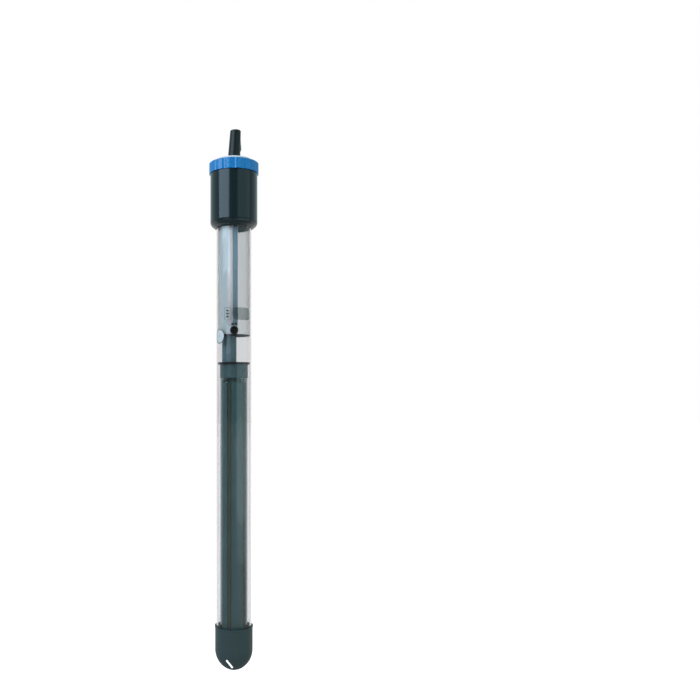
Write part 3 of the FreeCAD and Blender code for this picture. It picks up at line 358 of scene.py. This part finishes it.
def set_world():
    """White all round to the eye; a reflection sees the white backdrop behind and the dim studio in front."""
    world = bpy.data.worlds.new("studio")
    world.use_nodes = True
    tree = world.node_tree
    path = add(tree, "ShaderNodeLightPath")
    direct = straight_view(tree, path)
    backdrop = ramp(tree, "Generated", "Y", STUDIO_END, BACKDROP_START, STUDIO_LEVEL, BACKDROP_LEVEL)
    gloss = add(tree, "ShaderNodeMath", None,
                {0: (path, "Is Glossy Ray"), 1: (backdrop, 0)}, operation="MULTIPLY")
    seen = add(tree, "ShaderNodeMath", None, {0: (direct, 0), 1: (gloss, 0)}, operation="MAXIMUM")
    soft = add(tree, "ShaderNodeMath", {1: SOFT_LEVEL}, {0: (path, "Is Diffuse Ray")}, operation="MULTIPLY")
    total = add(tree, "ShaderNodeMath", None, {0: (seen, 0), 1: (soft, 0)}, operation="MAXIMUM")
    # A sharp reflection stays white, and one in a surface with some roughness turns slightly cool.
    sheen = add(tree, "ShaderNodeMath", None,
                {0: (path, "Is Glossy Ray"), 1: (path, "Is Singular Ray")}, operation="SUBTRACT")
    tint = add(tree, "ShaderNodeValToRGB", None, {"Fac": (sheen, 0)})
    tint.color_ramp.elements[0].color = linear("#ffffff")
    tint.color_ramp.elements[1].color = linear(SHEEN_TINT)
    background = tree.nodes["Background"]
    tree.links.new(tint.outputs[0], background.inputs["Color"])
    tree.links.new(total.outputs[0], background.inputs["Strength"])
    bpy.context.scene.world = world


def make_floor():
    """White paper below the foot: it glows to the eye, and a reflection sees it at its own levels."""
    mesh = bpy.data.meshes.new("floor")
    half = FLOOR_HALF_SIZE
    height = foot_low.z - FLOOR_DROP
    corners = [(-half, -half, height), (half, -half, height), (half, half, height), (-half, half, height)]
    mesh.from_pydata(corners, [], [(0, 1, 2, 3)])
    material, tree, shader = new_material("floor_matt_paper", "#f4f4f4", 0.9)
    path = add(tree, "ShaderNodeLightPath")
    direct = straight_view(tree, path)
    level = add(tree, "ShaderNodeMath", {1: FLOOR_GLOW}, {0: (direct, 0)}, operation="MULTIPLY")
    glow = add(tree, "ShaderNodeEmission", {"Color": linear("#ffffff")}, {"Strength": (level, 0)})
    both = add(tree, "ShaderNodeAddShader", None, {0: (shader, 0), 1: (glow, 0)})
    reflected = mirrored_view(tree, path)
    behind = ramp(tree, "Object", "Y", FLOOR_BACK_START, FLOOR_BACK_END, FLOOR_FRONT_LEVEL, FLOOR_BACK_LEVEL)
    beside = ramp(tree, "Object", "X", FLOOR_SIDE_START, FLOOR_SIDE_END, FLOOR_FRONT_LEVEL, FLOOR_SIDE_LEVEL)
    total = add(tree, "ShaderNodeMath", None, {0: (behind, 0), 1: (beside, 0)}, operation="MAXIMUM")
    dim = add(tree, "ShaderNodeEmission", {"Color": linear("#ffffff")}, {"Strength": (total, 0)})
    shown = add(tree, "ShaderNodeMixShader", None, {0: (reflected, 0), 1: (both, 0), 2: (dim, 0)})
    tree.links.new(shown.outputs[0], tree.nodes["Material Output"].inputs["Surface"])
    mesh.materials.append(material)
    floor = put("floor", mesh)


CORD_RADIUS = 2.6 * MM

# The lead's way, in plain millimetres, with heights counted from the foot's lowest point. Chosen points lead
# from the boot to the hank, and the hank is a loop of straight runs and half turns, drawn in at its waist.
ORIGIN_HEIGHT = 314.1
PLATE_TOP = 339.0
BOOT_REACH = 25.0
BOOT_SLEEVE_RISE = 15.5
BOOT_LEAN = math.radians(2.3)
BOOT_HEIGHT = 19.9
BOOT_TOP_X = 1.1
BOOT_BORE = 5.7
BOOT_LEAD_OUT = 19.0
HANK_X = -1.0
HANK_Y = 45.2
HANK_LOW = 95.0
HANK_RUN = 80.0
HANK_OUTER_RUN = 27.2
HANK_STEP = 6.5
HANK_LAYER_STEP = 5.8
HANK_WAIST_IN = 10.0
HANK_WAIST_STRAIGHT = 8.0
HANK_HALF_LOOPS = 8
FOLD_POINTS = 4
TAIL_LENGTH = 22.0
CORD_X = HANK_X - HANK_LAYER_STEP / 2
TAIL_X = HANK_X + HANK_LAYER_STEP / 2
BACK_RUN_Y = HANK_Y + HANK_OUTER_RUN
boot_direction = Vector((math.sin(BOOT_LEAN), math.cos(BOOT_LEAN), 0))
boot_corner = Vector((BOOT_TOP_X * BOOT_SLEEVE_RISE / BOOT_HEIGHT, 0, PLATE_TOP + BOOT_SLEEVE_RISE))
boot_end = boot_corner + boot_direction * BOOT_REACH
cord_start = boot_end - boot_direction * BOOT_BORE
CORD_ROUTE = [
    cord_start,
    boot_end + boot_direction * BOOT_LEAD_OUT,
    Vector((-0.6, 62.6, 342.6)),
    Vector((-2.6, 71.2, 319.0)),
    Vector((-3.9, 73.3, 290.5)),
    Vector((-3.4, 71.2, 259.0)),
    Vector((CORD_X, 72.9, 226.0)),
    Vector((CORD_X, BACK_RUN_Y, 196.0)),
]


def hank_points():
    """Control points of the hank: two for each side-step of a run, and four for each half turn."""
    points = []
    climb = HANK_HALF_LOOPS // 2
    levels = [HANK_OUTER_RUN - HANK_STEP / 2 * min(i, HANK_HALF_LOOPS - i)
              for i in range(HANK_HALF_LOOPS + 1)]
    middle_z = HANK_LOW + HANK_RUN / 2
    reach = (HANK_RUN - HANK_WAIST_STRAIGHT) / 2
    part = math.pi / FOLD_POINTS
    for index, level in enumerate(levels):
        side = 1 if index % 2 == 0 else -1
        heading = -side
        x_start = TAIL_X if index > climb else CORD_X
        x_end = TAIL_X if index >= climb else CORD_X
        x_middle = (x_start + x_end) / 2
        run_y = HANK_Y + side * level
        waist_y = HANK_Y + side * (level - HANK_WAIST_IN)
        aside = math.hypot(HANK_WAIST_IN, x_middle - x_start) / 2
        half_turn = math.atan2(aside, reach / 2)
        tangent = (reach ** 2 / 4 + aside ** 2) / (2 * aside) * math.tan(half_turn)
        z_start = middle_z - heading * HANK_RUN / 2
        z_waist = middle_z - heading * HANK_WAIST_STRAIGHT / 2
        points.append(Vector((x_start, run_y, z_start + heading * tangent)))
        points.append(Vector((x_middle, waist_y, z_waist - heading * tangent)))
        points.append(Vector((x_middle, waist_y, 2 * middle_z - z_waist + heading * tangent)))
        points.append(Vector((x_end, run_y, 2 * middle_z - z_start - heading * tangent)))
        if index < HANK_HALF_LOOPS:
            next_y = HANK_Y - side * levels[index + 1]
            radius = abs(next_y - run_y) / 2
            centre_y = (run_y + next_y) / 2
            out = radius / math.cos(part / 2)
            for corner in range(FOLD_POINTS):
                angle = part * (corner + 0.5)
                points.append(Vector((x_end, centre_y + side * out * math.cos(angle),
                                      middle_z + heading * (HANK_RUN / 2 + out * math.sin(angle)))))
    return points


def make_cord():
    origin = Vector((0, 0, ORIGIN_HEIGHT))
    tail_end = Vector((TAIL_X, BACK_RUN_Y, HANK_LOW - TAIL_LENGTH))
    route = CORD_ROUTE + hank_points() + [tail_end]
    curve = bpy.data.curves.new("mains_lead", "CURVE")
    curve.dimensions = "3D"
    curve.bevel_depth = CORD_RADIUS
    curve.bevel_resolution = 6
    curve.resolution_u = 8
    curve.use_fill_caps = True
    spline = curve.splines.new("NURBS")
    spline.points.add(len(route) - 1)
    for point, place in zip(spline.points, route):
        point.co = ((place - origin) * MM).to_4d()
        point.co.w = 1.0
    spline.order_u = 3
    spline.use_endpoint_u = True
    curve.materials.append(MATERIALS["cord_rubber"])
    cord = put("mains_lead", curve)
    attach(cord, "heater")
    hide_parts("power_cord", "cord_hank", "cord_tail")


# The resistance wire: a fine helix that runs up one channel of the core and down the next
COIL_CHANNELS = 5
COIL_TURN = -111.0
COIL_PATH_RADIUS = 7.35 * MM
COIL_RADIUS = 0.82 * MM
COIL_WIRE = 0.17 * MM
COIL_PITCH = 0.56 * MM
COIL_STEPS = 8
COIL_BEND = 1.7 * MM
COIL_BEND_STEPS = 6
COIL_END_ROOM = 1.0 * MM


def coil_line():
    """Points along the middle of the coil, from channel to channel."""
    low = coil_low.z + COIL_BEND + COIL_END_ROOM
    high = coil_high.z - COIL_BEND - COIL_END_ROOM
    angles = [math.radians(COIL_TURN + i * 360 / COIL_CHANNELS) for i in range(COIL_CHANNELS)]
    feet = [Vector((COIL_PATH_RADIUS * math.cos(a), COIL_PATH_RADIUS * math.sin(a), 0)) for a in angles]
    turns = [math.pi / 2 * step / COIL_BEND_STEPS for step in range(1, COIL_BEND_STEPS)]
    points = []
    for index, foot in enumerate(feet):
        up = index % 2 == 1
        start = foot + Vector((0, 0, low if up else high))
        end = foot + Vector((0, 0, high if up else low))
        points += [start, end]
        if index + 1 < COIL_CHANNELS:
            following = feet[index + 1] + Vector((0, 0, end.z))
            across = (following - end).normalized() * COIL_BEND
            out = Vector((0, 0, COIL_BEND if up else -COIL_BEND))
            points += [end + across * (1 - math.cos(turn)) + out * math.sin(turn) for turn in turns]
            points += [end + across + out, following - across + out]
            points += [following - across * (1 - math.sin(turn)) + out * math.cos(turn) for turn in turns]
    return points


def make_coil():
    line = coil_line()
    step = COIL_PITCH / COIL_STEPS
    places = []
    rest = 0.0
    for a, b in zip(line, line[1:]):
        length = (b - a).length
        along = (b - a) / length
        travelled = rest
        while travelled < length:
            places.append((a + along * travelled, along))
            travelled += step
        rest = travelled - length
    curve = bpy.data.curves.new("resistance_coil", "CURVE")
    curve.dimensions = "3D"
    curve.bevel_depth = COIL_WIRE
    curve.bevel_resolution = 1
    curve.use_fill_caps = True
    spline = curve.splines.new("POLY")
    spline.points.add(len(places) - 1)
    side = Vector((1, 0, 0))
    for index, (place, along) in enumerate(places):
        side = (side - along * side.dot(along)).normalized()
        other = along.cross(side)
        turn = 2 * math.pi * index / COIL_STEPS
        around = side * math.cos(turn) + other * math.sin(turn)
        spline.points[index].co = (*(place + around * COIL_RADIUS), 1.0)
    curve.materials.append(MATERIALS["resistance_wire"])
    coil = put("resistance_coil", curve)
    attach(coil, "heater")
    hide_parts("heating_coil")


def height_at(pixel_y, depth=GLASS_RADIUS):
    """The height of a point this far in front of the axis that shows at this row of the photograph."""
    return EYE_HEIGHT - (pixel_y - EYE_PIXEL_Y) / FOCAL_PIXELS * (CAMERA_DISTANCE - depth)


def ride_mesh(name, shape, material):
    """Turns a finished shape into a smooth piece that rides on the heater."""
    mesh = bpy.data.meshes.new(name)
    shape.to_mesh(mesh)
    shape.free()
    mesh.materials.append(material)
    for face in mesh.polygons:
        face.use_smooth = True
    piece = put(name, mesh)
    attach(piece, "heater")


# Two strips down the carrier's front, each by its edges to either side of the middle: a rib painted whiter as
# a highlight, and a band painted dark as the shade on the carrier's right edge
STRIP_SEAT = 0.02 * MM
STRIP_STEP = math.radians(2)
STRIP_LEAST_STEPS = 8
STRIP_CROWN = 6
STRIP_LOW_PIXEL_Y = 325.0
STRIP_TOP_ROOM = 2.0 * MM
RIB_LEFT = -4.1 * MM
RIB_RIGHT = -0.5 * MM
RIB_THICKNESS = 0.45 * MM
BAND_LEFT = -0.4 * MM
BAND_RIGHT = 2.4 * MM
BAND_THICKNESS = 0.25 * MM


def curved_strip(name, left, right, thickness, material):
    """A closed strip with a crowned face down the carrier, between two distances from its middle."""
    first = math.asin(left / CARRIER_RADIUS)
    last = math.asin(right / CARRIER_RADIUS)
    steps = max(STRIP_LEAST_STEPS, math.ceil((last - first) / STRIP_STEP))
    section = []
    for i in range(steps + 1):
        side = 2 * i / steps - 1
        crown = (1 - abs(side) ** STRIP_CROWN) ** 0.5
        section.append((first + (last - first) * i / steps, STRIP_SEAT + thickness * crown))
    for i in range(steps - 1, 0, -1):
        section.append((first + (last - first) * i / steps, STRIP_SEAT))
    shape = bmesh.new()
    rings = []
    for height in (height_at(STRIP_LOW_PIXEL_Y, CARRIER_RADIUS), film_high.z - STRIP_TOP_ROOM):
        ring = []
        for angle, lift in section:
            radius = CARRIER_RADIUS + lift
            ring.append(shape.verts.new((radius * math.sin(angle), -radius * math.cos(angle), height)))
        rings.append(ring)
    count = len(section)
    for i in range(count):
        j = (i + 1) % count
        shape.faces.new((rings[0][i], rings[0][j], rings[1][j], rings[1][i]))
    for ring in rings:
        for i in range(1, steps - 1):
            shape.faces.new((ring[i], ring[i + 1], ring[count - i - 1], ring[count - i]))
        shape.faces.new((ring[0], ring[1], ring[count - 1]))
        shape.faces.new((ring[steps - 1], ring[steps], ring[steps + 1]))
    bmesh.ops.recalc_face_normals(shape, faces=shape.faces)
    ride_mesh(name, shape, material)


def make_strips():
    # A moulded rib painted whiter than the carrier as a painted highlight, and a slate-blue band with a fine
    # grain, painted shade along the carrier's right edge
    rib = moulded("rib_painted_highlight", "#efece8", "#f5f2ee", 0.15)
    band = moulded("band_painted_shade", "#87a4b3", "#8facbb", 0.45, size=0.5, depth=0.01)
    curved_strip("carrier_rib_painted_highlight", RIB_LEFT, RIB_RIGHT, RIB_THICKNESS, rib)
    curved_strip("carrier_band_painted_shade", BAND_LEFT, BAND_RIGHT, BAND_THICKNESS, band)


# Screen-printed and fired enamel inks: flat, dull and even. The grey one is thin, so the glass shows through.
INK_DARK = moulded("ink_dark_enamel", "#1b2629", "#202b2e", 0.5)
INK_PALE = moulded("ink_pale_enamel", "#c6cdcd", "#ced5d5", 0.5)
INK_GREY = moulded("ink_thin_grey_enamel", "#3f5f5c", "#476764", 0.6, Alpha=0.33)

# Marks printed on the glass: half sizes of each outline, its roundness, and where it stands.
# An azimuth is in degrees from the front, and a row is the photograph's. A filled patch closes in to
# a pinhole, a small share of its outline.
PRINT_LIFT = 0.03 * MM
PRINT_THICKNESS = 0.03 * MM
PRINT_RINGS = 4
PATCH_HOLE = 0.05
SMALL_PATCH_HOLE = 0.1
OVAL = (4.4 * MM, 4.7 * MM, 2.2)
OVAL_LEAN = -20
OVAL_INSIDE = 0.92
OVAL_AZIMUTH = -54
OVAL_PIXEL_Y = 336
FRAME_MARK = (2.4 * MM, 4.2 * MM, 6)
FRAME_INSIDE_WIDTH = 0.93
FRAME_INSIDE_HEIGHT = 0.96
FRAME_AZIMUTH = -21
FRAME_PIXEL_Y = 313.5
BAR = (0.85 * MM, 0.5 * MM, 4)
BAR_STEP = 2.0 * MM
SPOT = (0.75 * MM, 0.9 * MM, 4)
SPOT_STEP = 2.3 * MM
SPOT_AZIMUTH = 1.5
SPOT_PIXEL_Y = 324
PANEL = (6.4 * MM, 4.1 * MM, 5)
PANEL_AZIMUTH = 28
PANEL_PIXEL_Y = 313.5


def on_glass(lift, azimuth, u, v, height):
    """A point this far off the glass: u runs round it to the right, and azimuth 0 faces the camera."""
    radius = GLASS_RADIUS + lift
    angle = math.radians(azimuth) + u / radius
    return Vector((radius * math.sin(angle), -radius * math.cos(angle), height + v))


def add_patch(shape, outline, inner, azimuth, pixel_y, aside=0.0, above=0.0):
    """Adds a thin closed patch between two outlines on the glass, moved aside and up by these lengths."""
    count = len(outline)
    height = height_at(pixel_y)
    layers = []
    for lift in (PRINT_LIFT, PRINT_LIFT + PRINT_THICKNESS):
        rings = []
        for ring in range(PRINT_RINGS + 1):
            share = ring / PRINT_RINGS
            places = [(a[0] + (b[0] - a[0]) * share + aside, a[1] + (b[1] - a[1]) * share + above)
                      for a, b in zip(outline, inner)]
            rings.append([shape.verts.new(on_glass(lift, azimuth, u, v, height)) for u, v in places])
        layers.append(rings)
    low, high = layers
    for i in range(count):
        j = (i + 1) % count
        for ring in range(PRINT_RINGS):
            shape.faces.new((high[ring][i], high[ring][j], high[ring + 1][j], high[ring + 1][i]))
            shape.faces.new((low[ring + 1][i], low[ring + 1][j], low[ring][j], low[ring][i]))
        shape.faces.new((low[0][i], low[0][j], high[0][j], high[0][i]))
        shape.faces.new((high[-1][i], high[-1][j], low[-1][j], low[-1][i]))


def rounded(half_width, half_height, roundness, count=32):
    """Points of a rounded outline: 2 is an ellipse, and more comes closer to a rectangle."""
    points = []
    for i in range(count):
        angle = 2 * math.pi * i / count
        c = math.cos(angle)
        s = math.sin(angle)
        points.append((half_width * math.copysign(abs(c) ** (2 / roundness), c),
                       half_height * math.copysign(abs(s) ** (2 / roundness), s)))
    return points


def tilted(points, degrees):
    """These points turned about their middle."""
    turn = math.radians(degrees)
    c = math.cos(turn)
    s = math.sin(turn)
    return [(u * c - v * s, u * s + v * c) for u, v in points]


def scaled(points, share):
    """These points drawn in towards their middle."""
    return [(u * share, v * share) for u, v in points]


def make_prints():
    oval = tilted(rounded(*OVAL), OVAL_LEAN)
    oval_inside = scaled(oval, OVAL_INSIDE)
    pale = bmesh.new()
    add_patch(pale, oval_inside, scaled(oval, PATCH_HOLE), OVAL_AZIMUTH, OVAL_PIXEL_Y)
    ride_mesh("print_plain_oval", pale, INK_PALE)
    dark = bmesh.new()
    add_patch(dark, oval, oval_inside, OVAL_AZIMUTH, OVAL_PIXEL_Y)
    frame_mark = rounded(*FRAME_MARK)
    frame_inside = [(u * FRAME_INSIDE_WIDTH, v * FRAME_INSIDE_HEIGHT) for u, v in frame_mark]
    add_patch(dark, frame_mark, frame_inside, FRAME_AZIMUTH, FRAME_PIXEL_Y)
    bar = rounded(*BAR)
    for row in (-1, 0, 1):
        add_patch(dark, bar, scaled(bar, SMALL_PATCH_HOLE), FRAME_AZIMUTH, FRAME_PIXEL_Y,
                  above=row * BAR_STEP)
    spot = rounded(*SPOT)
    for column in (-0.5, 0.5):
        add_patch(dark, spot, scaled(spot, SMALL_PATCH_HOLE), SPOT_AZIMUTH, SPOT_PIXEL_Y,
                  aside=column * SPOT_STEP)
    ride_mesh("print_marks", dark, INK_DARK)
    grey = bmesh.new()
    panel = rounded(*PANEL)
    add_patch(grey, panel, scaled(panel, PATCH_HOLE), PANEL_AZIMUTH, PANEL_PIXEL_Y)
    ride_mesh("print_grey_panel", grey, INK_GREY)


# The scale on the plate, in degrees Celsius, and its spread round the plate in degrees of turn
SCALE_FIRST = 18
SCALE_LAST = 34
SCALE_EVERY = 2
SCALE_SPREAD = 300
NUMBER_SIZE = 2.1 * MM
NUMBER_RADIUS = 10.5 * MM
NUMBER_THICKNESS = 0.03 * MM
NUMBER_LIFT = 0.01 * MM


def make_scale():
    """Plain temperature numbers on the white plate, with the middle of the scale at the front."""
    count = (SCALE_LAST - SCALE_FIRST) // SCALE_EVERY
    for index in range(count + 1):
        turn = math.radians(-SCALE_SPREAD / 2 + SCALE_SPREAD * index / count)
        curve = bpy.data.curves.new(f"scale_number_{index}", "FONT")
        curve.body = str(SCALE_FIRST + SCALE_EVERY * index)
        curve.size = NUMBER_SIZE
        curve.extrude = NUMBER_THICKNESS
        curve.align_x = "CENTER"
        curve.align_y = "CENTER"
        curve.materials.append(INK_DARK)
        number = put(f"scale_number_{index}", curve)
        number.location = (-NUMBER_RADIUS * math.sin(turn), -NUMBER_RADIUS * math.cos(turn),
                           plate_high.z + NUMBER_LIFT)
        number.rotation_euler = (0, 0, -turn)
        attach(number, "heater")


set_camera()
set_world()
set_lights()
make_floor()
dress_cad_nodes()
make_cord()
make_coil()
make_strips()
make_prints()
make_scale()

bpy.context.scene.view_settings.view_transform = "Standard"
